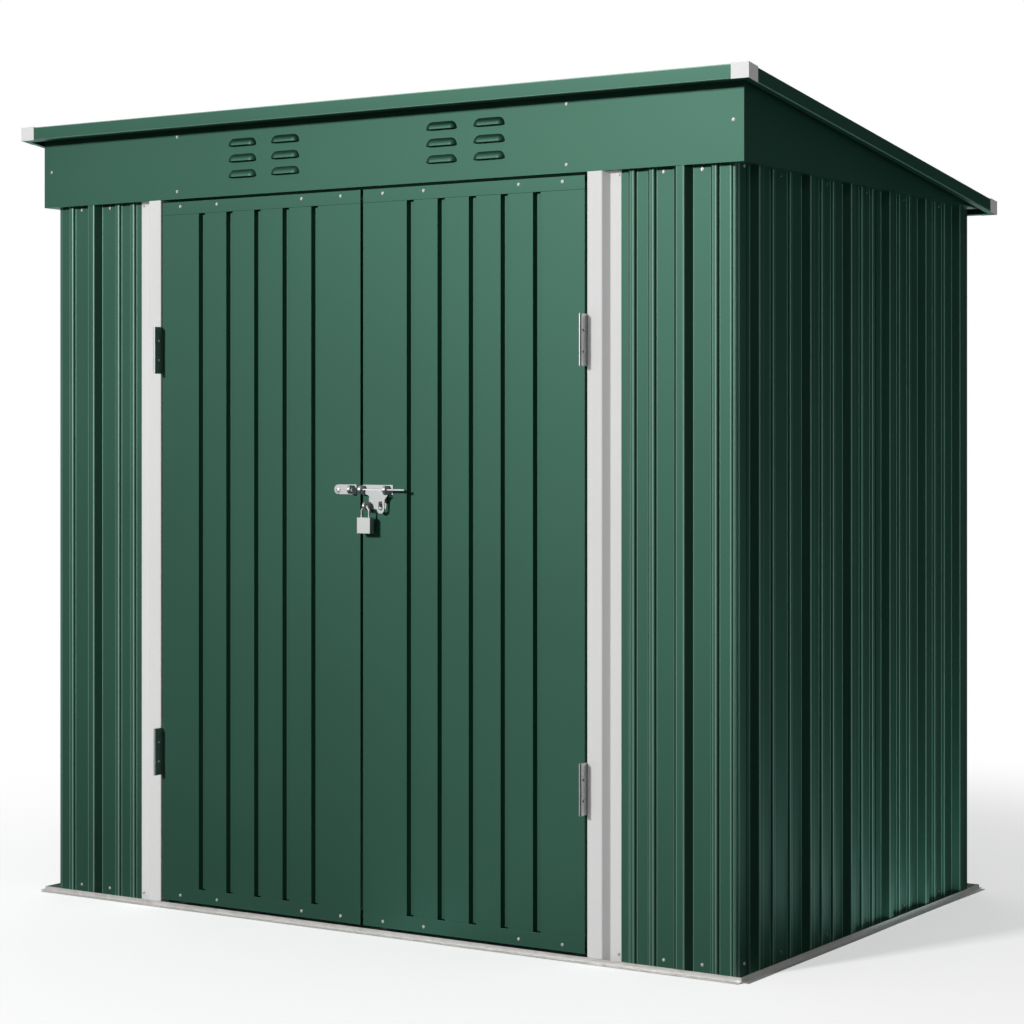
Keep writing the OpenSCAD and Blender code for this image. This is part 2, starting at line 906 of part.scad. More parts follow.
// The plate under the bolt, its apron behind the tongue and the staple that stands on the apron
module bolt_plate() {
    apron_x0 = staple_x - staple_t / 2 - apron_margin;
    apron_x1 = tongue_x + apron_reach;
    staple_r = staple_hole_r + staple_bar;
    color(zinc) {
        door_plate(plate_t, plate_t) {
            translate([plate_x0, bolt_z - plate_h / 2])
                square([plate_len, plate_h]);
            translate([apron_x0, staple_z])
                square([apron_x1 - apron_x0, bolt_z - staple_z]);
            translate([apron_x0 + apron_r, staple_z - apron_r])
                square([apron_x1 - apron_x0 - 2 * apron_r, apron_r + eps]);
            for (x = [apron_x0 + apron_r, apron_x1 - apron_r])
                translate([x, staple_z])
                    circle(r = apron_r);
        }
        rod_loop(plate_x0, rod_r + run_clear);
        rod_loop(far_loop_x, rod_r + run_clear);
        translate([staple_x - staple_t / 2, front_y - staple_out, staple_z])
            rotate([90, 0, 90])
                linear_extrude(height = staple_t)
                    difference() {
                        union() {
                            circle(r = staple_r);
                            translate([0, -staple_r])
                                square([staple_out - plate_t / 2, 2 * staple_r]);
                        }
                        circle(r = staple_hole_r);
                    }
    }
}

// The bolt: a round rod with a broad tongue at its front, whose slotted eye hangs beside the staple
module slide_bolt() {
    color(zinc) {
        translate([rod_x0, front_y - rod_out, bolt_z])
            rotate([0, 90, 0])
                cylinder(r = rod_r, h = rod_len);
        door_plate(rod_out + rod_r, tongue_t)
            translate([tongue_x, bolt_z])
                difference() {
                    union() {
                        polygon([
                            [-root_left, 0], [root_right, 0], [root_right, -shoulder_drop],
                            [shoulder_out, -shoulder_drop], [neck_right, -shoulder_foot],
                            [tongue_r, -tongue_drop], [-tongue_r, -tongue_drop],
                            [-tongue_r, -eye_drop], [-neck_left, -neck_drop], [-root_left, -hollow_drop]
                        ]);
                        translate([0, -tongue_drop])
                            circle(r = tongue_r);
                    }
                    translate([-root_left, -hollow_drop])
                        circle(r = hollow_r);
                    for (side = [-1, 1])
                        translate([0, side * eye_half - eye_drop])
                            circle(r = tongue_eye_r);
                    translate([-tongue_eye_r, -eye_half - eye_drop])
                        square([2 * tongue_eye_r, 2 * eye_half]);
                }
    }
}

// Padlock: a block with a round-bar shackle through the staple
module padlock() {
    arch_r = (shackle_w - shackle_d) / 2;
    arch_z = shackle_bar_z - arch_r;
    body_top = shackle_bar_z + shackle_d / 2 - shackle_h;
    edge_r = 2;
    shackle_root = 1;
    color(zinc)
        translate([staple_x, front_y - staple_out, 0]) {
            translate([0, 0, body_top - padlock_h])
                linear_extrude(height = padlock_h) {
                    square([padlock_w - 2 * edge_r, padlock_t], center = true);
                    square([padlock_w, padlock_t - 2 * edge_r], center = true);
                    for (x = [-1, 1])
                        for (y = [-1, 1])
                            translate([x * (padlock_w / 2 - edge_r), y * (padlock_t / 2 - edge_r)])
                                circle(r = edge_r);
                }
            for (x = [-1, 1])
                translate([x * arch_r, 0, body_top - shackle_root])
                    cylinder(d = shackle_d, h = arch_z - body_top + shackle_root);
            translate([0, 0, arch_z])
                rotate([90, 0, 0])
                    rotate_extrude(angle = 180)
                        translate([arch_r, 0])
                            circle(d = shackle_d);
        }
}

front_base_rail();
rear_base_rail();
left_base_rail();
right_base_rail();
left_front_panel();
right_front_panel();
left_side_front_sheet();
left_side_rear_sheet();
right_side_front_sheet();
right_side_rear_sheet();
rear_left_sheet();
rear_right_sheet();
left_door_post();
right_door_post();
front_top_rail();
rear_top_rail();
left_top_rail();
right_top_rail();
front_fascia();
left_fascia();
right_fascia();
roof_left_sheet();
roof_right_sheet();
roof_beam();
front_left_trim();
front_right_trim();
rear_trim();
left_trim();
right_trim();
roof_corner_caps();
left_hinge_post_leaves();
right_hinge_post_leaves();
left_door_panel();
left_door_top_band();
left_door_bottom_band();
left_hinge_door_leaves();
lock_keeper();
right_door_panel();
right_door_top_band();
right_door_bottom_band();
right_hinge_door_leaves();
bolt_plate();
padlock();
slide_bolt();
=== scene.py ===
"""Finishes, fasteners and studio for a ribbed steel garden shed, laid out as a Blender add-on."""
import json
import math

import bmesh
import bpy
from bpy.props import FloatProperty, FloatVectorProperty, IntProperty, PointerProperty
from bpy.types import Operator, Panel, PropertyGroup
from mathutils import Matrix, Vector
from mathutils.bvhtree import BVHTree


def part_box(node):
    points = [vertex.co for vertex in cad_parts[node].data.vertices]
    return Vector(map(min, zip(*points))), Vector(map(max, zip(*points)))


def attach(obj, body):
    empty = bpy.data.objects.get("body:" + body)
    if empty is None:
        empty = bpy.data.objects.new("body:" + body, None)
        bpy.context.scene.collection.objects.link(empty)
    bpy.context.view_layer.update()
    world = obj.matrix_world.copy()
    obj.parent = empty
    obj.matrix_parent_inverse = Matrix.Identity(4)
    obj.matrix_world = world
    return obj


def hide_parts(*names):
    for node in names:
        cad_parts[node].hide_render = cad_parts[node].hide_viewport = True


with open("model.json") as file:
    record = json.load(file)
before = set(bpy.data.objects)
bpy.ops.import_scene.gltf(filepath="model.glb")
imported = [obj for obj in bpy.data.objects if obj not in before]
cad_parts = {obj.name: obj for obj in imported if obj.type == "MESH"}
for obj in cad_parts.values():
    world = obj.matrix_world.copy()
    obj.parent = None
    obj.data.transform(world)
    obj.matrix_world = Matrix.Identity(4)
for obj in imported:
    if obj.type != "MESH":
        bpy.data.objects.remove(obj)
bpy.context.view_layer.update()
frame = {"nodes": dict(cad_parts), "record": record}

bl_info = {
    "name": "Ribbed Steel Shed",
    "version": (1, 0, 0),
    "blender": (4, 5, 0),
    "location": "View3D > Sidebar > Shed",
    "description": "Dresses a ribbed steel garden shed with folded edges, finishes and fasteners",
    "category": "Object",
}

MM = 0.001
ALONG_X = Vector((1, 0, 0))
ALONG_Y = Vector((0, 1, 0))
UP = Vector((0, 0, 1))
FRONT = Vector((0, -1, 0))
SIDES = ((-1, "left"), (1, "right"))

# Face attribute of rounded folds and screw heads, which the green finish paints paler: a painted
# highlight along the folds, a paler tone on the heads
PAINTED_PALE_MARK = "fold"

# Body and finish of each CAD node
BODY_OF = {
    node: body
    for body, nodes in frame["record"]["behaviour"]["bodies"].items()
    for node in nodes
}
SLOT_OF = {part["node"]: part["material_slot"] for part in frame["record"]["subparts"]}

# Slope of the roof, from the trims along its edges
ROOF_LOW, ROOF_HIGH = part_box("left_trim")
TRIM_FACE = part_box("rear_trim")[1].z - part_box("rear_trim")[0].z
ROOF_FALL = (ROOF_HIGH.z - ROOF_LOW.z - TRIM_FACE) / (ROOF_HIGH.y - ROOF_LOW.y)
DOWN_ROOF = Vector((0, 1, -ROOF_FALL)).normalized()
ROOF_UP = Vector((0, ROOF_FALL, 1)).normalized()

# What counts as one point, one flat or one direction
SAME_POINT = 0.005 * MM
SAME_FLAT = math.radians(0.3)
SAME_WAY = 0.999

# A fold has flats wider than this on both sides, and turns by more than its angle
SHEET_BREADTH = 1.6 * MM
FOLD_ANGLE = math.radians(12)

# An edge is sharp past the first angle, and faces shade as one round under the others
SHARP_ANGLE = math.radians(50)
ROUND_ANGLE = math.radians(32)
HEAD_ROUND_ANGLE = math.radians(40)

# Steps across a rounded edge
COARSE_STEPS = 2
FINE_STEPS = 3

# Rivets of the hinges: where they sit along a hinge's height
HINGE_H = 0.1
RIVET_SHARES = (0.28, 0.69)

# Screw of the keeper: in from its round end, and down from the top of the bolt's rod
KEEPER_SCREW_IN = 10 * MM
KEEPER_SCREW_DOWN = 4.5 * MM

# Screws of the doors: distances from the seam, and the height on each band
BAND_SCREWS_X = (0.053, 0.153, 0.378, 0.478)
BAND_SCREWS_Z = (("_door_bottom_band", 0.028), ("_door_top_band", 1.496))

# Screws of the front: distances from the seam, and the fascia's from its bottom and top edges
FASCIA_PAIR_X = 0.487
FASCIA_PAIR_UP = 16 * MM
FASCIA_PAIR_DOWN = 23 * MM
FASCIA_END_X = 0.848
POST_SCREW_X = 0.5945
PANEL_SCREWS_X = (0.692, 0.774)

# Screws in the front panels' corner returns: their depth, and their height over the other screws
RETURN_SCREW_Y = -0.510
RETURN_SCREW_RISE = 5 * MM

# Screws of the side walls, one in each pan between the ribs
SIDE_PANS = (
    (-0.3600, "_side_front_sheet"), (-0.1588, "_side_front_sheet"), (0.0268, "_side_front_sheet"),
    (0.2123, "_side_rear_sheet"), (0.3978, "_side_rear_sheet"),
)

# Screws of the rear wall and the roof, in evenly spaced pans
# The roof's rows are set out at the height of its middle
PANS = 8
REAR_PITCH = 0.1934
ROOF_PITCH = 0.2064
ROOF_ROWS = (-0.55, 0.0, 0.55)
ROOF_MIDDLE_Z = 1.6

# Brightness of the felt flats at degrees from the front, rightwards, and their dye
# Both ends of the ring, which meet at the rear, come first
FELT = (
    (-180, 0.8), (180, 0.8), (-130, 0.9), (-85, 0.9), (-62, 0.03), (-5, 0.03), (4, 0.45), (14, 0.45),
    (22, 0.02), (88, 0.02), (97, 1.0), (113, 1.0), (122, 0.06), (163, 0.06),
)
FELT_DYE = (0.74, 1.0, 1.0)


def linear(hex_colour):
    """Linear red, green and blue of an sRGB hex colour."""
    shares = [int(hex_colour[i:i + 2], 16) / 255 for i in (1, 3, 5)]
    return [s / 12.92 if s <= 0.04045 else ((s + 0.055) / 1.055) ** 2.4 for s in shares]


class ShedSizes(PropertyGroup):
    """Sizes of the folds and fasteners."""

    fold_radius: FloatProperty(
        name="Fold radius", description="Rounding along the outside of a sheet's folds",
        default=2 * MM, min=0.2 * MM, max=3 * MM, unit="LENGTH",
    )
    inner_radius: FloatProperty(
        name="Inner radius", description="Rounding along the inside of a sheet's folds",
        default=0.8 * MM, min=0.2 * MM, max=3 * MM, unit="LENGTH",
    )
    groove_edge: FloatProperty(
        name="Groove edge", description="Rounding along the grooves and edges of the door sheets",
        default=0.5 * MM, min=0.1 * MM, max=1 * MM, unit="LENGTH",
    )
    band_edge: FloatProperty(
        name="Band edge", description="Rounding along the edges of the doors' bands",
        default=0.7 * MM, min=0.1 * MM, max=1 * MM, unit="LENGTH",
    )
    cap_edge: FloatProperty(
        name="Cap edge", description="Rounding along the edges of the roof's corner caps",
        default=0.8 * MM, min=0.1 * MM, max=1 * MM, unit="LENGTH",
    )
    louvre_edge: FloatProperty(
        name="Louvre edge", description="Rounding along the edges of the fascias and their louvres",
        default=0.25 * MM, min=0.1 * MM, max=0.4 * MM, unit="LENGTH",
    )
    edge_radius: FloatProperty(
        name="Plate edge", description="Rounding along the edges of the hinges and the bolt",
        default=0.35 * MM, min=0.1 * MM, max=0.6 * MM, unit="LENGTH",
    )
    padlock_edge: FloatProperty(
        name="Padlock edge", description="Rounding along the padlock's top and bottom",
        default=1.1 * MM, min=0.2 * MM, max=1.5 * MM, unit="LENGTH",
    )
    fold_segments: IntProperty(
        name="Fold segments", description="Steps across each rounded fold", default=3, min=1, max=6,
    )
    screw_d: FloatProperty(
        name="Screw head", description="Diameter of a screw's washer face",
        default=6.5 * MM, min=5 * MM, max=14 * MM, unit="LENGTH",
    )
    screw_h: FloatProperty(
        name="Screw height", description="Height of a screw head over the sheet",
        default=2.2 * MM, min=1.5 * MM, max=5 * MM, unit="LENGTH",
    )
    keeper_screw_d: FloatProperty(
        name="Keeper screw", description="Diameter of the screw in the keeper's round end",
        default=11 * MM, min=8 * MM, max=14 * MM, unit="LENGTH",
    )
    rivet_d: FloatProperty(
        name="Rivet head", description="Diameter of a rivet's dome",
        default=6.5 * MM, min=4 * MM, max=8 * MM, unit="LENGTH",
    )
    rivet_h: FloatProperty(
        name="Rivet height", description="Height of a rivet's dome",
        default=2.4 * MM, min=1 * MM, max=3 * MM, unit="LENGTH",
    )
    screw_foot: FloatProperty(
        name="Foot screws", description="Height of the lowest screws of the walls",
        default=20 * MM, min=14 * MM, max=40 * MM, unit="LENGTH",
    )
    screw_head: FloatProperty(
        name="Head screws", description="From the top of the walls down to their highest screws",
        default=8 * MM, min=6 * MM, max=40 * MM, unit="LENGTH",
    )


class ShedColours(PropertyGroup):
    """Colours of the finishes."""

    green: FloatVectorProperty(
        name="Green", description="Colour of the coated wall, door and roof sheets",
        default=linear("#356352"), min=0, max=1, subtype="COLOR",
    )
    white: FloatVectorProperty(
        name="White", description="Colour of the coated posts and corner caps",
        default=linear("#e3e3e2"), min=0, max=1, subtype="COLOR",
    )
    zinc: FloatVectorProperty(
        name="Zinc", description="Colour of the galvanised rails",
        default=linear("#dad8d5"), min=0, max=1, subtype="COLOR",
    )
    plate: FloatVectorProperty(
        name="Bright plate", description="Colour of the plated hinges, bolt and screws",
        default=linear("#dcdddd"), min=0, max=1, subtype="COLOR",
    )
    nickel: FloatVectorProperty(
        name="Nickel", description="Colour of the padlock's plating",
        default=linear("#dadada"), min=0, max=1, subtype="COLOR",
    )


# Materials

def add(tree, kind, inputs=None, **settings):
    """Adds a node with its settings, and sets or links its inputs."""
    made = tree.nodes.new(kind)
    for name, value in settings.items():
        setattr(made, name, value)
    for socket, value in (inputs or {}).items():
        if isinstance(value, bpy.types.NodeSocket):
            tree.links.new(value, made.inputs[socket])
        else:
            made.inputs[socket].default_value = value
    return made


def new_surface(name):
    """An empty node material, with its tree and output node."""
    material = bpy.data.materials.new(name)
    material.use_nodes = True
    material.node_tree.nodes.clear()
    return material, material.node_tree, add(material.node_tree, "ShaderNodeOutputMaterial")


def per_metre(size_mm):
    """Texture scale whose features are about that size."""
    return 1 / (size_mm * MM)


def green_coil_coating(colours):
    """Pearl polyester coil coating on steel, roller coated before folding.

    Fine flakes in the film mirror the surroundings in its own green, so that a sheet is bright where
    it faces a light and nearly black where it turns away, under a clear top coat. The film has a
    faint orange peel and its tone and gloss drift a little from place to place. Along the rounded
    folds it is painted paler as a painted highlight, and screw heads are painted paler too."""
    material, tree, out = new_surface("green_pearl_polyester_coil_coating_roller_coated")
    place = add(tree, "ShaderNodeTexCoord").outputs["Object"]
    drift = add(tree, "ShaderNodeTexNoise", {"Vector": place, "Scale": per_metre(420), "Detail": 2})
    peel = add(tree, "ShaderNodeTexNoise", {"Vector": place, "Scale": per_metre(3), "Detail": 2})
    shade = add(tree, "ShaderNodeMapRange", {
        "Value": drift.outputs["Fac"], "From Min": 0.3, "From Max": 0.7, "To Min": 0.95, "To Max": 1.05,
    })
    # Painted highlight: faces marked along the rounded folds are painted up to three times lighter and
    # less saturated, and marked screw heads are painted paler the same way
    fold = add(tree, "ShaderNodeAttribute", attribute_name=PAINTED_PALE_MARK).outputs["Fac"]
    painted_pale_gain = add(tree, "ShaderNodeMapRange", {"Value": fold, "To Min": 1.0, "To Max": 3.0})
    value = add(tree, "ShaderNodeMath", {
        0: shade.outputs[0], 1: painted_pale_gain.outputs[0],
    }, operation="MULTIPLY")
    painted_pale_saturation = add(tree, "ShaderNodeMapRange", {"Value": fold, "To Min": 1.0, "To Max": 0.6})
    colour = add(tree, "ShaderNodeHueSaturation", {
        "Color": [*colours.green, 1], "Value": value.outputs[0], "Saturation": painted_pale_saturation.outputs[0],
    })
    gloss = add(tree, "ShaderNodeMapRange", {
        "Value": drift.outputs["Fac"], "From Min": 0.3, "From Max": 0.7, "To Min": 0.54, "To Max": 0.57,
    })
    bump = add(tree, "ShaderNodeBump", {
        "Height": peel.outputs["Fac"], "Strength": 0.05, "Distance": 0.3 * MM,
    })
    coat = add(tree, "ShaderNodeBsdfPrincipled", {
        "Base Color": colour.outputs["Color"], "Roughness": gloss.outputs[0], "Normal": bump.outputs[0],
        "Metallic": 0.92, "IOR": 1.5, "Coat Weight": 0.4, "Coat Roughness": 0.46,
    })
    tree.links.new(coat.outputs[0], out.inputs["Surface"])
    return material


def white_coil_coating(colours):
    """Polyester coil coating on steel, roller coated: a clean even white, satin, with a faint peel."""
    material, tree, out = new_surface("white_polyester_coil_coating_roller_coated")
    place = add(tree, "ShaderNodeTexCoord").outputs["Object"]
    drift = add(tree, "ShaderNodeTexNoise", {"Vector": place, "Scale": per_metre(300), "Detail": 2})
    peel = add(tree, "ShaderNodeTexNoise", {"Vector": place, "Scale": per_metre(3), "Detail": 2})
    shade = add(tree, "ShaderNodeMapRange", {
        "Value": drift.outputs["Fac"], "From Min": 0.3, "From Max": 0.7, "To Min": 0.97, "To Max": 1.0,
    })
    colour = add(tree, "ShaderNodeHueSaturation", {
        "Color": [*colours.white, 1], "Value": shade.outputs[0],
    })
    bump = add(tree, "ShaderNodeBump", {
        "Height": peel.outputs["Fac"], "Strength": 0.05, "Distance": 0.4 * MM,
    })
    coat = add(tree, "ShaderNodeBsdfPrincipled", {
        "Base Color": colour.outputs["Color"], "Roughness": 0.36, "Normal": bump.outputs[0],
        "IOR": 1.5, "Specular IOR Level": 0.35,
    })
    tree.links.new(coat.outputs[0], out.inputs["Surface"])
    return material


def hot_dip_galvanising(colours):
    """Hot-dip galvanised strip: dull zinc whose crystals, the spangle, show as pale and grey flakes."""
    material, tree, out = new_surface("zinc_hot_dip_galvanised_spangle")
    place = add(tree, "ShaderNodeTexCoord").outputs["Object"]
    flakes = add(tree, "ShaderNodeTexVoronoi", {"Vector": place, "Scale": per_metre(11)})
    flake = add(tree, "ShaderNodeSeparateColor", {"Color": flakes.outputs["Color"]})
    shade = add(tree, "ShaderNodeMapRange", {
        "Value": flake.outputs["Red"], "To Min": 0.93, "To Max": 1.02,
    })
    colour = add(tree, "ShaderNodeHueSaturation", {
        "Color": [*colours.zinc, 1], "Value": shade.outputs[0],
    })
    gloss = add(tree, "ShaderNodeMapRange", {
        "Value": flake.outputs["Green"], "To Min": 0.38, "To Max": 0.55,
    })
    metal = add(tree, "ShaderNodeBsdfPrincipled", {
        "Base Color": colour.outputs["Color"], "Metallic": 0.5, "Roughness": gloss.outputs[0],
    })
    tree.links.new(metal.outputs[0], out.inputs["Surface"])
    return material


def bright_plating(name, colour, roughness, grain_mm):
    """Plated steel: a bright even metal with the fine grain of the pressed or drawn steel under it.

    The grain is drawn coarser than the real one, so that it shows."""
    material, tree, out = new_surface(name)
    place = add(tree, "ShaderNodeTexCoord").outputs["Object"]
    grain = add(tree, "ShaderNodeTexNoise", {
        "Vector": place, "Scale": per_metre(grain_mm), "Detail": 3,
    })
    gloss = add(tree, "ShaderNodeMapRange", {
        "Value": grain.outputs["Fac"], "From Min": 0.3, "From Max": 0.7,
        "To Min": roughness - 0.01, "To Max": roughness + 0.02,
    })
    shade = add(tree, "ShaderNodeMapRange", {
        "Value": grain.outputs["Fac"], "From Min": 0.3, "From Max": 0.7, "To Min": 0.96, "To Max": 1.0,
    })
    tint = add(tree, "ShaderNodeHueSaturation", {"Color": [*colour, 1], "Value": shade.outputs[0]})
    metal = add(tree, "ShaderNodeBsdfPrincipled", {
        "Base Color": tint.outputs["Color"], "Metallic": 1.0, "Roughness": gloss.outputs[0],
    })
    tree.links.new(metal.outputs[0], out.inputs["Surface"])
    return material


def hinge_plating(colours):
    """Bright zinc on pressed hinge leaves: silvery, with a soft sheen."""
    return bright_plating("steel_bright_zinc_plated_hinges", colours.plate, 0.4, 3)


def bolt_plating(colours):
    """Bright zinc on the bolt and its plates: silvery, a little duller than the hinges."""
    return bright_plating("steel_bright_zinc_plated_bolt", colours.plate, 0.43, 3)


def padlock_plating(colours):
    """Satin nickel on the padlock: a pale grey metal with a broad, soft highlight."""
    return bright_plating("steel_satin_nickel_plated_padlock", colours.nickel, 0.52, 2)


FINISHES = {
    "green_coated_steel": green_coil_coating,
    "white_coated_steel": white_coil_coating,
    "galvanised_steel": hot_dip_galvanising,
    "hinge_steel": hinge_plating,
    "bolt_steel": bolt_plating,
    "padlock_steel": padlock_plating,
}
made_finishes = {}


def finish_of(slot):
    """The material of one of the record's slots, made when it is first asked for."""
    if slot not in made_finishes:
        made_finishes[slot] = FINISHES[slot](bpy.context.scene.shed_colours)
    return made_finishes[slot]


# Modelling

def only(piece):
    """Makes a piece the only selected object and the active one."""
    bpy.ops.object.select_all(action="DESELECT")
    piece.select_set(True)
    bpy.context.view_layer.objects.active = piece


def edit(piece, kind):
    """Opens a piece in edit mode, to pick vertices, edges or faces, with nothing selected."""
    only(piece)
    bpy.ops.object.mode_set(mode="EDIT")
    bpy.ops.mesh.select_mode(type=kind)
    bpy.ops.mesh.select_all(action="DESELECT")


def leave():
    """Closes edit mode."""
    bpy.ops.object.mode_set(mode="OBJECT")


def select(piece, kind, test):
    """Selects the edges or the faces of the edited piece that pass a test."""
    mesh = bmesh.from_edit_mesh(piece.data)
    mesh.normal_update()
    for part in {"EDGE": mesh.edges, "FACE": mesh.faces}[kind]:
        part.select_set(bool(test(part)))
    mesh.select_flush_mode()
    bmesh.update_edit_mesh(piece.data)


def copy_of(node):
    """A piece with its own copy of a CAD node's mesh, its triangles merged into whole flats."""
    piece = bpy.data.objects.new(node + ".finished", frame["nodes"][node].data.copy())
    bpy.context.scene.collection.objects.link(piece)
    edit(piece, "VERT")
    bpy.ops.mesh.select_all(action="SELECT")
    bpy.ops.mesh.customdata_custom_splitnormals_clear()
    bpy.ops.mesh.remove_doubles(threshold=SAME_POINT)
    bpy.ops.mesh.dissolve_limited(angle_limit=SAME_FLAT)
    leave()
    return piece


def breadth(face, edge):
    """How far a face reaches from one of its edges."""
    start, end = (vert.co for vert in edge.verts)
    way = (end - start).normalized()
    return max(((vert.co - start) - (vert.co - start).dot(way) * way).length for vert in face.verts)


def is_fold(edge, along):
    """Whether an edge runs along a sheet's folds, between two flats that are wider than the sheet."""
    way = (edge.verts[1].co - edge.verts[0].co).normalized()
    if len(edge.link_faces) != 2 or abs(way.dot(along)) < SAME_WAY:
        return False
    if edge.calc_face_angle() < FOLD_ANGLE:
        return False
    return all(breadth(face, edge) > SHEET_BREADTH for face in edge.link_faces)


def round_selected(offset, segments):
    """Rounds the selected edges of the edited piece, which leaves the new faces selected."""
    bpy.ops.mesh.bevel(
        offset_type="OFFSET", offset=offset, segments=segments, affect="EDGES", clamp_overlap=True,
    )


def smooth(piece):
    """Smooths the rounded folds and keeps the flats between them flat."""
    only(piece)
    bpy.ops.object.shade_smooth_by_angle(angle=ROUND_ANGLE)
    modifier = piece.modifiers.new("flat_faces", "WEIGHTED_NORMAL")
    modifier.keep_sharp = True
    bpy.ops.object.modifier_apply(modifier=modifier.name)


def fit(piece, slot, body, *nodes):
    """Gives a piece its finish and its body, and lets it stand for CAD nodes."""
    piece.data.materials.clear()
    piece.data.materials.append(finish_of(slot))
    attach(piece, body)
    if nodes:
        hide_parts(*nodes)
    return piece


def paint_paler_selected(piece):
    """Marks the selected faces of the edited piece to be painted paler in the green: a painted
    highlight on rounded folds, a paler tone on screw heads.
    """
    mesh = bmesh.from_edit_mesh(piece.data)
    mark = mesh.faces.layers.float.get(PAINTED_PALE_MARK) or mesh.faces.layers.float.new(PAINTED_PALE_MARK)
    for face in mesh.faces:
        if face.select:
            face[mark] = 1.0
    bmesh.update_edit_mesh(piece.data)


def dress_folded(sizes, along, *nodes):
    """Finishes folded sheets: their folds, which run one way, become rounded."""
    for node in nodes:
        piece = copy_of(node)
        edit(piece, "EDGE")
        for radius, outside in ((sizes.fold_radius, True), (sizes.inner_radius, False)):
            select(piece, "EDGE", lambda edge: is_fold(edge, along) and edge.is_convex == outside)
            round_selected(radius, sizes.fold_segments)
            # Marks the rounded faces, which the green finish paints paler as a painted highlight along
            # the fold
            paint_paler_selected(piece)
        leave()
        smooth(piece)
        fit(piece, SLOT_OF[node], BODY_OF[node], node)


def dress_pressed(radius, segments, *nodes):
    """Finishes pressed parts: every sharp edge is broken by a narrow rounding."""
    for node in nodes:
        piece = copy_of(node)
        edit(piece, "EDGE")
        select(piece, "EDGE", lambda edge: len(edge.link_faces) == 2
               and edge.calc_face_angle() > SHARP_ANGLE)
        round_selected(radius, segments)
        leave()
        smooth(piece)
        fit(piece, SLOT_OF[node], BODY_OF[node], node)


def both(name):
    """The left and the right node of a pair."""
    return ["left_" + name, "right_" + name]


# Fasteners

def model_screw(width, height):
    """A washer-faced pan head with a driven recess, on the XY plane at the origin."""
    washer_h = 0.35 * height
    washer_rim = 0.12 * width
    head_h = 0.4 * height
    crown_rim = 0.1 * width
    crown_h = 0.25 * height
    recess_rim = 0.12 * width
    recess_slope = 0.03 * width
    recess_depth = 0.3 * height
    bpy.ops.object.select_all(action="DESELECT")
    bpy.ops.mesh.primitive_cylinder_add(
        vertices=12, radius=width / 2, depth=washer_h, location=(0, 0, washer_h / 2),
    )
    bpy.ops.object.transform_apply(location=True, rotation=False, scale=False)
    screw = bpy.context.object
    edit(screw, "FACE")
    select(screw, "FACE", lambda face: face.normal.dot(UP) > SAME_WAY)
    bpy.ops.mesh.inset(thickness=washer_rim, depth=0)
    bpy.ops.mesh.extrude_region_move(TRANSFORM_OT_translate={"value": (0, 0, head_h)})
    bpy.ops.mesh.inset(thickness=crown_rim, depth=crown_h)
    bpy.ops.mesh.inset(thickness=recess_rim, depth=0)
    bpy.ops.mesh.inset(thickness=recess_slope, depth=-recess_depth)
    bpy.ops.mesh.select_all(action="SELECT")
    # Marks the whole head, which the green finish paints paler
    paint_paler_selected(screw)
    leave()
    return screw


def model_rivet(sizes):
    """A low domed rivet head on the XY plane at the origin."""
    bpy.ops.object.select_all(action="DESELECT")
    bpy.ops.mesh.primitive_uv_sphere_add(segments=12, ring_count=8, radius=sizes.rivet_d / 2)
    rivet = bpy.context.object
    edit(rivet, "FACE")
    bpy.ops.mesh.select_all(action="SELECT")
    bpy.ops.mesh.bisect(plane_co=(0, 0, 0), plane_no=UP, use_fill=True, clear_inner=True)
    bpy.ops.mesh.select_all(action="SELECT")
    bpy.ops.transform.resize(value=(1, 1, 2 * sizes.rivet_h / sizes.rivet_d))
    leave()
    return rivet


def on(node, start, way):
    """The place where a fastener that faces one way sits on a CAD node, straight behind a point."""
    mesh = frame["nodes"][node].data
    tree = BVHTree.FromPolygons(
        [vert.co for vert in mesh.vertices], [face.vertices for face in mesh.polygons],
    )
    point = tree.ray_cast(Vector(start) + way, -way)[0]
    if point is None:
        raise RuntimeError("no sheet behind a fastener on " + node)
    return point, way


def scatter(model, places, name, slot, body):
    """Joins a copy of a small model at each place, a point and the way it faces, into one piece."""
    copies = []
    for point, way in places:
        copy = bpy.data.objects.new(name, model.data.copy())
        turn = way.to_track_quat("Z", "Y").to_matrix().to_4x4()
        copy.data.transform(Matrix.Translation(point) @ turn)
        bpy.context.scene.collection.objects.link(copy)
        copies.append(copy)
    bpy.ops.object.select_all(action="DESELECT")
    for copy in copies:
        copy.select_set(True)
    bpy.context.view_layer.objects.active = copies[0]
    bpy.ops.object.join()
    copies[0].name = name
    only(copies[0])
    bpy.ops.object.shade_smooth_by_angle(angle=HEAD_ROUND_ANGLE)
    return fit(copies[0], slot, body)


def drop(model):
    """Removes a model once its copies are in place."""
    bpy.data.objects.remove(model)


# Operators

class SHED_OT_walls(Operator):
    """Round the folds of the ribbed wall sheets and coat them"""

    bl_idname = "shed.walls"
    bl_label = "Walls"

    def execute(self, context):
        sizes = context.scene.shed_sizes
        dress_folded(
            sizes, UP, *both("front_panel"), *both("side_front_sheet"), *both("side_rear_sheet"),
            "rear_left_sheet", "rear_right_sheet",
        )
        return {"FINISHED"}


class SHED_OT_posts(Operator):
    """Round the folds of the white door posts"""

    bl_idname = "shed.posts"
    bl_label = "Door posts"

    def execute(self, context):
        dress_folded(context.scene.shed_sizes, UP, *both("door_post"))
        return {"FINISHED"}


class SHED_OT_rails(Operator):
    """Round the folds of the base rails, top rails and roof beam"""

    bl_idname = "shed.rails"
    bl_label = "Rails"

    def execute(self, context):
        sizes = context.scene.shed_sizes
        dress_folded(
            sizes, ALONG_X, "front_base_rail", "rear_base_rail", "front_top_rail", "rear_top_rail",
            "roof_beam",
        )
        dress_folded(sizes, ALONG_Y, *both("base_rail"), *both("top_rail"))
        return {"FINISHED"}


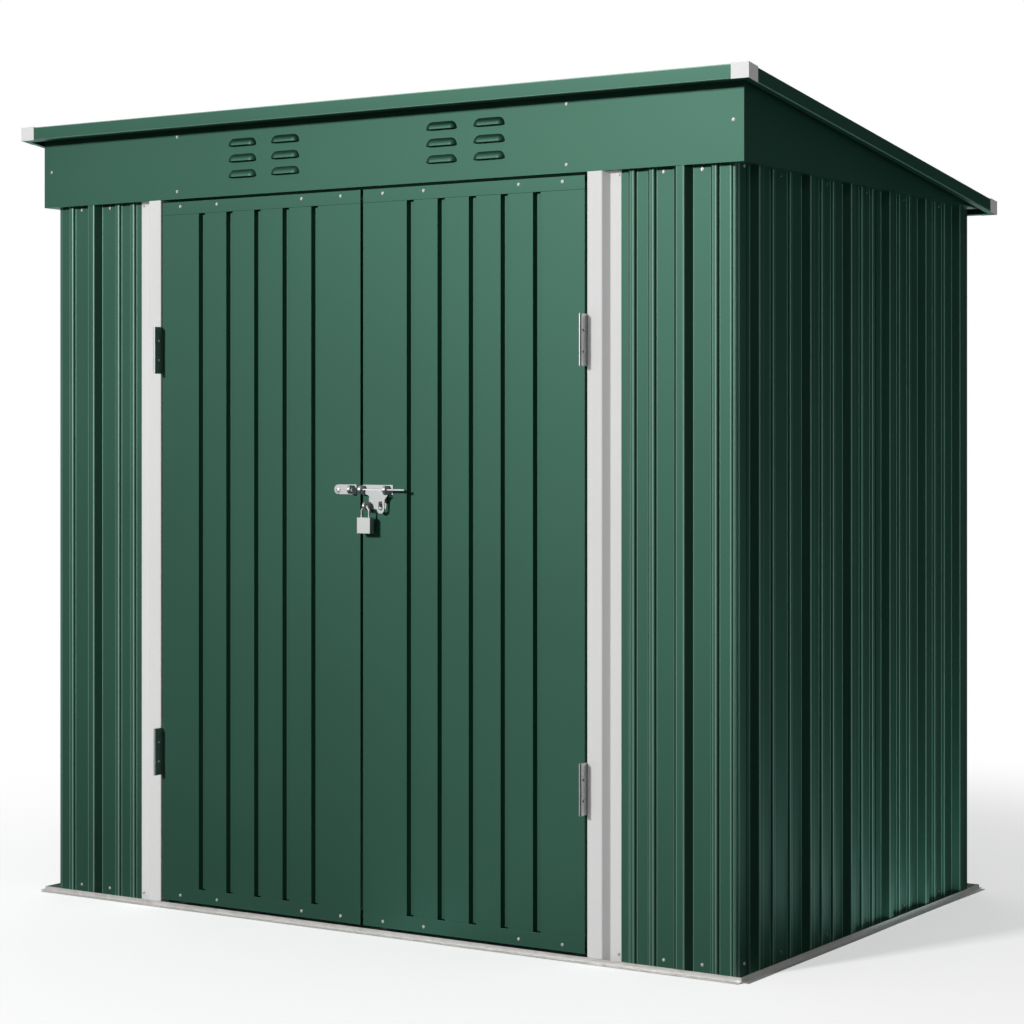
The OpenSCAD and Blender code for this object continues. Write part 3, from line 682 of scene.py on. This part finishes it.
class SHED_OT_roof(Operator):
    """Round the folds of the roof sheets and trims, and the edges of the corner caps"""

    bl_idname = "shed.roof"
    bl_label = "Roof"

    def execute(self, context):
        sizes = context.scene.shed_sizes
        dress_folded(sizes, DOWN_ROOF, "roof_left_sheet", "roof_right_sheet", *both("trim"))
        dress_folded(sizes, ALONG_X, "front_left_trim", "front_right_trim", "rear_trim")
        dress_pressed(sizes.cap_edge, FINE_STEPS, "roof_corner_caps")
        return {"FINISHED"}


class SHED_OT_fascia(Operator):
    """Smooth the pressed louvres and coat the fascias"""

    bl_idname = "shed.fascia"
    bl_label = "Fascias"

    def execute(self, context):
        sizes = context.scene.shed_sizes
        dress_pressed(sizes.louvre_edge, COARSE_STEPS, "front_fascia", *both("fascia"))
        return {"FINISHED"}


class SHED_OT_doors(Operator):
    """Round the edges of the grooved door leaves and their bands"""

    bl_idname = "shed.doors"
    bl_label = "Doors"

    def execute(self, context):
        sizes = context.scene.shed_sizes
        dress_pressed(sizes.groove_edge, FINE_STEPS, *both("door_panel"))
        dress_pressed(
            sizes.band_edge, COARSE_STEPS, *both("door_top_band"), *both("door_bottom_band"),
        )
        return {"FINISHED"}


class SHED_OT_hinges(Operator):
    """Finish the hinges and set their rivets"""

    bl_idname = "shed.hinges"
    bl_label = "Hinges"

    def execute(self, context):
        sizes = context.scene.shed_sizes
        leaves = (*both("hinge_post_leaves"), *both("hinge_door_leaves"))
        dress_pressed(sizes.edge_radius, COARSE_STEPS, *leaves)
        rivet = model_rivet(sizes)
        front_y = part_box("front_fascia")[1].y
        for node in leaves:
            low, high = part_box(node)
            # Midway across the part of the leaf that stands proud of the front
            proud_y = (low.y + front_y) / 2
            right_of_pin = node.startswith("left") == ("door" in node)
            way = ALONG_X if right_of_pin else -ALONG_X
            places = []
            for foot in (low.z, high.z - HINGE_H):
                for share in RIVET_SHARES:
                    places.append(on(node, (0, proud_y, foot + share * HINGE_H), way))
            scatter(rivet, places, node + "_rivets", "hinge_steel", BODY_OF[node])
        drop(rivet)
        return {"FINISHED"}


class SHED_OT_lock(Operator):
    """Finish the bolt, its plates and the padlock, and drive the keeper's screw"""

    bl_idname = "shed.lock"
    bl_label = "Bolt and padlock"

    def execute(self, context):
        sizes = context.scene.shed_sizes
        dress_pressed(sizes.edge_radius, COARSE_STEPS, "lock_keeper", "bolt_plate", "slide_bolt")
        dress_pressed(sizes.padlock_edge, FINE_STEPS, "padlock")
        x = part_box("lock_keeper")[0].x + KEEPER_SCREW_IN
        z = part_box("slide_bolt")[1].z - KEEPER_SCREW_DOWN
        screw = model_screw(sizes.keeper_screw_d, sizes.screw_h)
        place = on("lock_keeper", (x, 0, z), FRONT)
        scatter(screw, [place], "keeper_screw", "bolt_steel", BODY_OF["lock_keeper"])
        drop(screw)
        return {"FINISHED"}


class SHED_OT_screws(Operator):
    """Drive the screws that hold the sheets, posts, fascia and door bands"""

    bl_idname = "shed.screws"
    bl_label = "Screws"

    def execute(self, context):
        sizes = context.scene.shed_sizes
        screw = model_screw(sizes.screw_d, sizes.screw_h)
        scatter(screw, self.front_places(sizes), "front_screws", "galvanised_steel", "shell")
        # The green screws take the paler painted tone of their marked heads
        scatter(screw, self.wall_places(sizes), "wall_screws", "green_coated_steel", "shell")
        scatter(screw, self.roof_places(), "roof_screws", "green_coated_steel", "shell")
        for side, name in SIDES:
            places = [
                on(name + band, (side * x, 0, z), FRONT)
                for x in BAND_SCREWS_X
                for band, z in BAND_SCREWS_Z
            ]
            scatter(screw, places, name + "_door_screws", "galvanised_steel", name + "_door")
        drop(screw)
        return {"FINISHED"}

    def heights(self, sizes):
        """The two heights at which the walls are screwed to the rails."""
        return sizes.screw_foot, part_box("right_front_panel")[1].z - sizes.screw_head

    def front_places(self, sizes):
        """Places on the fascia, the door posts, the front panels and the panels' corner returns."""
        low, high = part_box("front_fascia")
        places = []
        for side, name in SIDES:
            panel = name + "_front_panel"
            for z in (low.z + FASCIA_PAIR_UP, high.z - FASCIA_PAIR_DOWN):
                places.append(on("front_fascia", (side * FASCIA_PAIR_X, 0, z), FRONT))
            end = (side * FASCIA_END_X, 0, (low.z + high.z) / 2)
            places.append(on("front_fascia", end, FRONT))
            for z in self.heights(sizes):
                places.append(on(name + "_door_post", (side * POST_SCREW_X, 0, z), FRONT))
                places += [on(panel, (side * x, 0, z), FRONT) for x in PANEL_SCREWS_X]
                corner = (0, RETURN_SCREW_Y, z + RETURN_SCREW_RISE)
                places.append(on(panel, corner, side * ALONG_X))
        return places

    def wall_places(self, sizes):
        """Places in the pans of the side walls and the rear wall, along the foot and the head."""
        places = []
        for z in self.heights(sizes):
            for side, name in SIDES:
                for y, sheet in SIDE_PANS:
                    places.append(on(name + sheet, (0, y, z), side * ALONG_X))
            for x in self.pan_middles(REAR_PITCH):
                sheet = "rear_left_sheet" if x < 0 else "rear_right_sheet"
                places.append(on(sheet, (x, 0, z), ALONG_Y))
        return places

    def roof_places(self):
        """Places in the pans of the roof, in rows from front to rear."""
        places = []
        for x in self.pan_middles(ROOF_PITCH):
            sheet = "roof_left_sheet" if x < 0 else "roof_right_sheet"
            places += [on(sheet, (x, y, ROOF_MIDDLE_Z), ROOF_UP) for y in ROOF_ROWS]
        return places

    def pan_middles(self, pitch):
        """Middles of evenly spaced pans, from left to right."""
        return [(i - (PANS - 1) / 2) * pitch for i in range(PANS)]


class SHED_OT_stage(Operator):
    """Set up the floor, the studio light and the camera"""

    bl_idname = "shed.stage"
    bl_label = "Stage"

    def execute(self, context):
        scene = context.scene
        make_world(scene)
        make_floor()
        make_flats()
        make_lights()
        make_camera(scene)
        scene.view_settings.view_transform = "Standard"
        return {"FINISHED"}


# Stage

def seen_directly(tree):
    """One for rays that show a thing to the eye, directly, mirrored or through glass."""
    path = add(tree, "ShaderNodeLightPath")
    mirrored = add(tree, "ShaderNodeMath", {
        0: path.outputs["Is Camera Ray"], 1: path.outputs["Is Glossy Ray"],
    }, operation="MAXIMUM")
    return add(tree, "ShaderNodeMath", {
        0: mirrored.outputs[0], 1: path.outputs["Is Transmission Ray"],
    }, operation="MAXIMUM").outputs[0]


def make_world(scene):
    """A white surround that lights the object only dimly."""
    ambient = 0.27
    world = bpy.data.worlds.new("studio_surround")
    world.use_nodes = True
    tree = world.node_tree
    tree.nodes.clear()
    strength = add(tree, "ShaderNodeMapRange", {
        "Value": seen_directly(tree), "To Min": ambient, "To Max": 1.0,
    })
    white = add(tree, "ShaderNodeBackground", {
        "Color": (1, 1, 1, 1), "Strength": strength.outputs[0],
    })
    add(tree, "ShaderNodeOutputWorld", {"Surface": white.outputs[0]})
    scene.world = world


def make_floor():
    """A pale floor that keeps the object's shadow and fades to white away from it.

    To the eye it glows, partly near the object and fully far off. Inside the base rails, and for
    other rays, it is plain paint."""
    floor_size = 24
    floor_drop = 0.5 * MM
    under_rail = 10 * MM
    fade_start = 1.4
    fade_end = 2.8
    near_glow = 0.45
    paint_tone = 0.82
    rail_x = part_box("right_base_rail")[1].x - under_rail
    rail_y = -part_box("front_base_rail")[0].y - under_rail
    bpy.ops.object.select_all(action="DESELECT")
    bpy.ops.mesh.primitive_plane_add(size=floor_size, location=(0, 0, -floor_drop))
    floor = bpy.context.object
    floor.name = "studio_floor"
    material, tree, out = new_surface("studio_floor_matt_white_paint")
    place = add(tree, "ShaderNodeTexCoord").outputs["Object"]
    reach = add(tree, "ShaderNodeVectorMath", {0: place}, operation="LENGTH").outputs["Value"]
    sides = add(tree, "ShaderNodeVectorMath", {0: place}, operation="ABSOLUTE")
    side = add(tree, "ShaderNodeSeparateXYZ", {0: sides.outputs[0]})
    beyond_x = add(tree, "ShaderNodeMath", {0: side.outputs["X"], 1: rail_x}, operation="GREATER_THAN")
    beyond_y = add(tree, "ShaderNodeMath", {0: side.outputs["Y"], 1: rail_y}, operation="GREATER_THAN")
    outside = add(tree, "ShaderNodeMath", {
        0: beyond_x.outputs[0], 1: beyond_y.outputs[0],
    }, operation="MAXIMUM")
    open_floor = add(tree, "ShaderNodeMath", {
        0: outside.outputs[0], 1: seen_directly(tree),
    }, operation="MULTIPLY").outputs[0]
    glow_by_reach = add(tree, "ShaderNodeMapRange", {
        "Value": reach, "From Min": fade_start, "From Max": fade_end,
        "To Min": near_glow, "To Max": 1.0,
    }, interpolation_type="SMOOTHSTEP")
    paint_by_reach = add(tree, "ShaderNodeMapRange", {
        "Value": reach, "From Min": fade_start, "From Max": fade_end, "To Min": 1.0, "To Max": 0.0,
    }, interpolation_type="SMOOTHSTEP")
    glow = add(tree, "ShaderNodeMapRange", {
        "Value": open_floor, "To Min": 0.0, "To Max": glow_by_reach.outputs[0],
    })
    tone = add(tree, "ShaderNodeMapRange", {
        "Value": open_floor, "To Min": paint_tone, "To Max": paint_by_reach.outputs[0],
    })
    paint = add(tree, "ShaderNodeBsdfDiffuse", {"Color": tone.outputs[0]})
    white = add(tree, "ShaderNodeEmission", {"Color": (1, 1, 1, 1), "Strength": glow.outputs[0]})
    lit = add(tree, "ShaderNodeAddShader", {0: paint.outputs[0], 1: white.outputs[0]})
    tree.links.new(lit.outputs[0], out.inputs["Surface"])
    floor.data.materials.append(material)


def make_flats():
    """Felt flats and a ground cloth round the set, which only reflections see.

    They are pale at the left, at the rear and just behind the right, grey in a strip at the front and
    nearly black between, as in a dark studio, so that gloss on the faces that turn away from the light
    stays dark. They darken upwards, under a pale ceiling."""
    ring_sides = 48
    ring_r = 6.5
    ring_h = 6.0
    ring_drop = 0.25 * MM
    darkest_from = 2.5
    upper_share = 0.2
    ceiling_glow = 0.7
    ceiling_margin = 0.1
    bpy.ops.object.select_all(action="DESELECT")
    bpy.ops.mesh.primitive_cylinder_add(
        vertices=ring_sides, radius=ring_r, depth=ring_h, location=(0, 0, ring_h / 2 - ring_drop),
        end_fill_type="NGON",
    )
    flats = bpy.context.object
    flats.name = "studio_flats"
    material, tree, out = new_surface("studio_flats_dyed_felt")
    place = add(tree, "ShaderNodeTexCoord").outputs["Object"]
    split = add(tree, "ShaderNodeSeparateXYZ", {0: place})
    forward = add(tree, "ShaderNodeMath", {0: split.outputs["Y"], 1: -1.0}, operation="MULTIPLY")
    turn = add(tree, "ShaderNodeMath", {
        0: split.outputs["X"], 1: forward.outputs[0],
    }, operation="ARCTAN2")
    share = add(tree, "ShaderNodeMapRange", {
        "Value": turn.outputs[0], "From Min": -math.pi, "From Max": math.pi,
    })
    felt = add(tree, "ShaderNodeValToRGB", {0: share.outputs[0]})
    stops = felt.color_ramp.elements
    for (degrees, level), stop in zip(FELT, stops):
        stop.position = degrees / 360 + 0.5
        stop.color = (*[level * dye for dye in FELT_DYE], 1)
    for degrees, level in FELT[2:]:
        stops.new(degrees / 360 + 0.5).color = (*[level * dye for dye in FELT_DYE], 1)
    height = add(tree, "ShaderNodeMapRange", {
        "Value": split.outputs["Z"], "From Min": -ring_h / 2, "From Max": darkest_from - ring_h / 2,
        "To Min": 1.0, "To Max": upper_share,
    })
    glow = add(tree, "ShaderNodeEmission", {
        "Color": felt.outputs["Color"], "Strength": height.outputs[0],
    })
    ceiling = add(tree, "ShaderNodeEmission", {"Color": (1, 1, 1, 1), "Strength": ceiling_glow})
    overhead = add(tree, "ShaderNodeMath", {
        0: split.outputs["Z"], 1: ring_h / 2 - ceiling_margin,
    }, operation="GREATER_THAN")
    room = add(tree, "ShaderNodeMixShader", {
        0: overhead.outputs[0], 1: glow.outputs[0], 2: ceiling.outputs[0],
    })
    tree.links.new(room.outputs[0], out.inputs["Surface"])
    flats.data.materials.append(material)
    flats.visible_camera = False
    flats.visible_diffuse = False
    flats.visible_transmission = False
    flats.visible_shadow = False


def softbox(name, place, target, width, height, radiance):
    """A square-edged area lamp of an even brightness that faces a target."""
    bpy.ops.object.select_all(action="DESELECT")
    bpy.ops.object.light_add(type="AREA", location=place)
    lamp = bpy.context.object
    lamp.name = name
    lamp.data.shape = "RECTANGLE"
    lamp.data.size = width
    lamp.data.size_y = height
    lamp.data.energy = radiance * math.pi * width * height
    lamp.rotation_euler = (Vector(target) - Vector(place)).to_track_quat("-Z", "Y").to_euler()


def make_lights():
    """A small, distant key lamp at the front left, and a broad, weak lamp at the rear left."""
    softbox(
        "key_softbox", place=(-4.21, -13.13, 5.34), target=(0, -0.55, 0.85),
        width=1.6, height=1.6, radiance=150.0,
    )
    softbox(
        "rear_softbox", place=(-2.6, 3.4, 2.6), target=(0, 0, 0.8),
        width=3.0, height=2.4, radiance=0.9,
    )


def make_camera(scene):
    """The photograph's viewing angle, its long lens level and shifted down."""
    level = math.radians(90)
    turn = math.radians(32.775)
    camera = bpy.data.cameras.new("view_camera")
    camera.sensor_width = 36
    camera.lens = 87.48
    camera.shift_y = -0.0721
    eye = bpy.data.objects.new("view_camera", camera)
    eye.location = (2.9878, -4.6346, 1.0023)
    eye.rotation_euler = (level, 0, turn)
    scene.collection.objects.link(eye)
    scene.camera = eye


OPERATORS = (
    SHED_OT_walls, SHED_OT_posts, SHED_OT_rails, SHED_OT_roof, SHED_OT_fascia, SHED_OT_doors,
    SHED_OT_hinges, SHED_OT_lock, SHED_OT_screws, SHED_OT_stage,
)


class SHED_PT_sidebar(Panel):
    """Lists the shed's sizes, colours and steps"""

    bl_label = "Ribbed Steel Shed"
    bl_idname = "SHED_PT_sidebar"
    bl_space_type = "VIEW_3D"
    bl_region_type = "UI"
    bl_category = "Shed"

    def draw(self, context):
        for group in (context.scene.shed_sizes, context.scene.shed_colours):
            for name in group.__annotations__:
                self.layout.prop(group, name)
        for step in OPERATORS:
            self.layout.operator(step.bl_idname)


CLASSES = (ShedSizes, ShedColours, *OPERATORS, SHED_PT_sidebar)


def register():
    for entry in CLASSES:
        bpy.utils.register_class(entry)
    bpy.types.Scene.shed_sizes = PointerProperty(type=ShedSizes)
    bpy.types.Scene.shed_colours = PointerProperty(type=ShedColours)


def unregister():
    del bpy.types.Scene.shed_colours
    del bpy.types.Scene.shed_sizes
    for entry in reversed(CLASSES):
        bpy.utils.unregister_class(entry)


def main():
    register()
    bpy.ops.shed.walls()
    bpy.ops.shed.posts()
    bpy.ops.shed.rails()
    bpy.ops.shed.roof()
    bpy.ops.shed.fascia()
    bpy.ops.shed.doors()
    bpy.ops.shed.hinges()
    bpy.ops.shed.lock()
    bpy.ops.shed.screws()
    bpy.ops.shed.stage()


if __name__ == "__main__":
    main()
